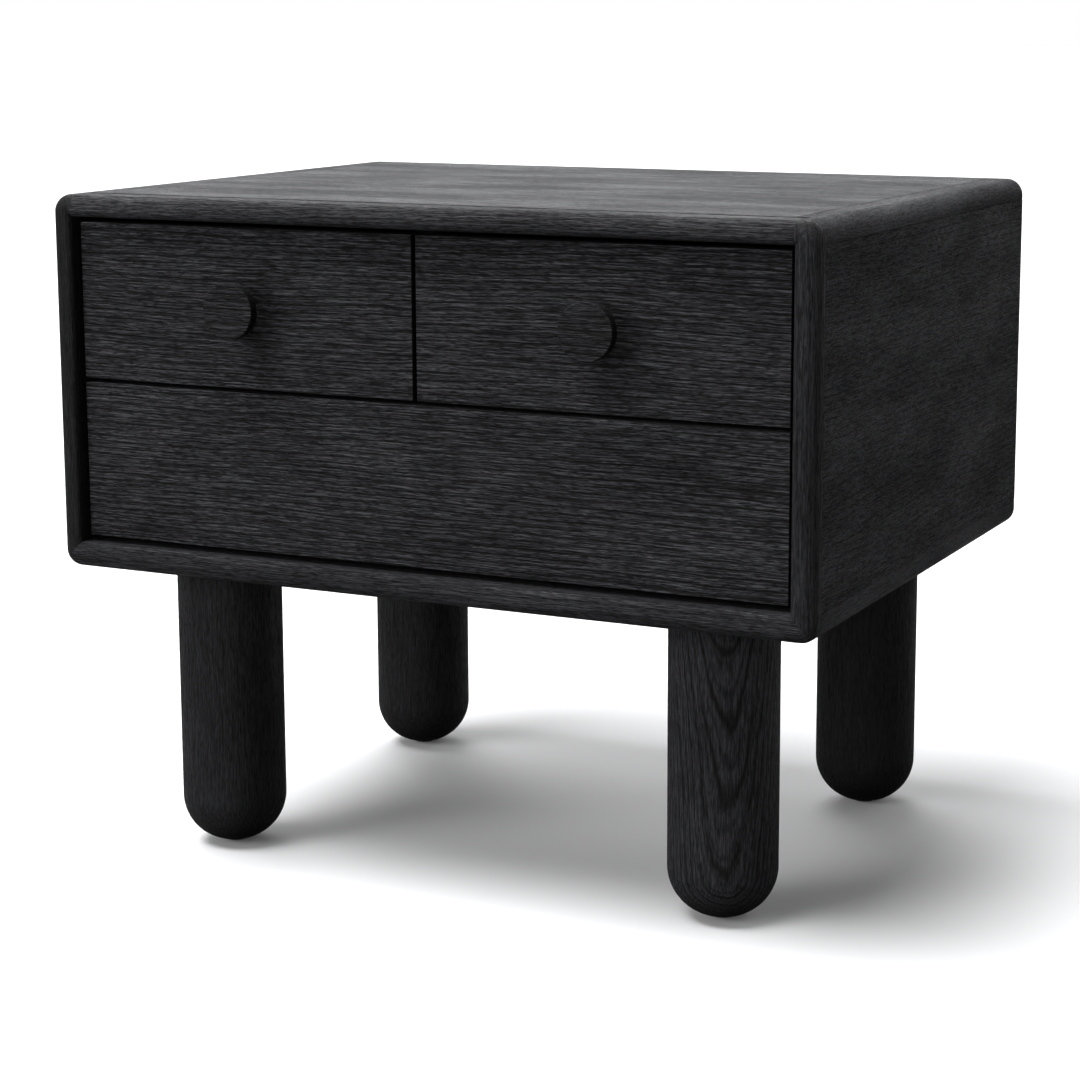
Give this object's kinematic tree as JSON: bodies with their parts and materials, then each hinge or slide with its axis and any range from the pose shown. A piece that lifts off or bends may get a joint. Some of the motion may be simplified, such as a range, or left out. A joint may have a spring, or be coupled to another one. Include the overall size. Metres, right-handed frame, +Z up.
{
  "type": "nightstand with drawers",
  "caption": "Low black oak nightstand: a case with a rounded front frame, small drawers with disc knobs over a wide push-to-open drawer, on thick round legs.",
  "frame": {"origin": "on the floor, under the middle of the whole object's box, knobs included", "axes": "+X to the right seen from the front, the front faces -Y, +Z up"},
  "size_m": [0.6, 0.4716, 0.5],
  "materials": {
    "black_oak": "black stain on brushed open-pore oak, dull satin",
    "back_board": "black stained oak veneer, matt",
    "drawer_box": "dark stained ply, matt lacquer",
    "slide_steel": "zinc-plated rolled steel, satin",
    "zinc_steel": "zinc-plated steel, satin",
    "black_plastic": "moulded black nylon, matt"
  },
  "bodies": {
    "case": {"frame_top_rail": "black_oak", "frame_bottom_rail": "black_oak", "frame_left_stile": "black_oak", "frame_right_stile": "black_oak", "top_panel": "black_oak", "bottom_panel": "black_oak", "left_side_panel": "black_oak", "right_side_panel": "black_oak", "top_left_corner_moulding": "black_oak", "top_right_corner_moulding": "black_oak", "bottom_left_corner_moulding": "black_oak", "bottom_right_corner_moulding": "black_oak", "back_panel": "back_board", "back_panel_screws": "zinc_steel", "centre_divider": "back_board", "middle_shelf": "back_board", "front_left_leg": "black_oak", "front_right_leg": "black_oak", "back_left_leg": "black_oak", "back_right_leg": "black_oak", "leg_bolts": "zinc_steel", "leg_inserts": "zinc_steel", "foot_glides": "black_plastic", "left_cabinet_slides": "slide_steel", "right_cabinet_slides": "slide_steel", "lower_cabinet_slides": "slide_steel", "push_latch_bodies": "black_plastic"},
    "left_drawer": {"left_drawer_slides": "slide_steel", "left_drawer_front": "black_oak", "left_drawer_inner_front": "drawer_box", "left_drawer_left_side": "drawer_box", "left_drawer_right_side": "drawer_box", "left_drawer_back": "drawer_box", "left_drawer_bottom": "drawer_box", "left_drawer_knob": "black_oak", "left_knob_screw": "zinc_steel", "left_front_screws": "zinc_steel"},
    "right_drawer": {"right_drawer_slides": "slide_steel", "right_drawer_front": "black_oak", "right_drawer_inner_front": "drawer_box", "right_drawer_left_side": "drawer_box", "right_drawer_right_side": "drawer_box", "right_drawer_back": "drawer_box", "right_drawer_bottom": "drawer_box", "right_drawer_knob": "black_oak", "right_knob_screw": "zinc_steel", "right_front_screws": "zinc_steel"},
    "lower_drawer": {"lower_drawer_slides": "slide_steel", "lower_drawer_front": "black_oak", "lower_drawer_inner_front": "drawer_box", "lower_drawer_left_side": "drawer_box", "lower_drawer_right_side": "drawer_box", "lower_drawer_back": "drawer_box", "lower_drawer_bottom": "drawer_box", "lower_front_screws": "zinc_steel"},
    "left_slide_middles": {"left_middle_slides": "slide_steel"},
    "right_slide_middles": {"right_middle_slides": "slide_steel"},
    "lower_slide_middles": {"lower_middle_slides": "slide_steel"},
    "latch_plungers": {"push_latch_plungers": "black_plastic"}
  },
  "joints": [
    {"name": "left_drawer_slide", "type": "slide", "parent": "case", "child": "left_drawer", "axis": [0, -1, 0], "range_m": [0, 0.3]},
    {"name": "left_middle_slide", "type": "slide", "parent": "case", "child": "left_slide_middles", "axis": [0, -1, 0], "range_m": [0, 0.15]},
    {"name": "right_drawer_slide", "type": "slide", "parent": "case", "child": "right_drawer", "axis": [0, -1, 0], "range_m": [0, 0.3]},
    {"name": "right_middle_slide", "type": "slide", "parent": "case", "child": "right_slide_middles", "axis": [0, -1, 0], "range_m": [0, 0.15]},
    {"name": "lower_drawer_slide", "type": "slide", "parent": "case", "child": "lower_drawer", "axis": [0, -1, 0], "range_m": [0, 0.3]},
    {"name": "lower_middle_slide", "type": "slide", "parent": "case", "child": "lower_slide_middles", "axis": [0, -1, 0], "range_m": [0, 0.15]},
    {"name": "latch_plunger_slide", "type": "slide", "parent": "case", "child": "latch_plungers", "axis": [0, -1, 0], "range_m": [0, 0.012]}
  ],
  "couplings": [
    {"joint": "left_middle_slide", "follows": "left_drawer_slide", "ratio": 0.5},
    {"joint": "right_middle_slide", "follows": "right_drawer_slide", "ratio": 0.5},
    {"joint": "lower_middle_slide", "follows": "lower_drawer_slide", "ratio": 0.5},
    {"joint": "latch_plunger_slide", "follows": "lower_drawer_slide", "ratio": 0.04}
  ]
}
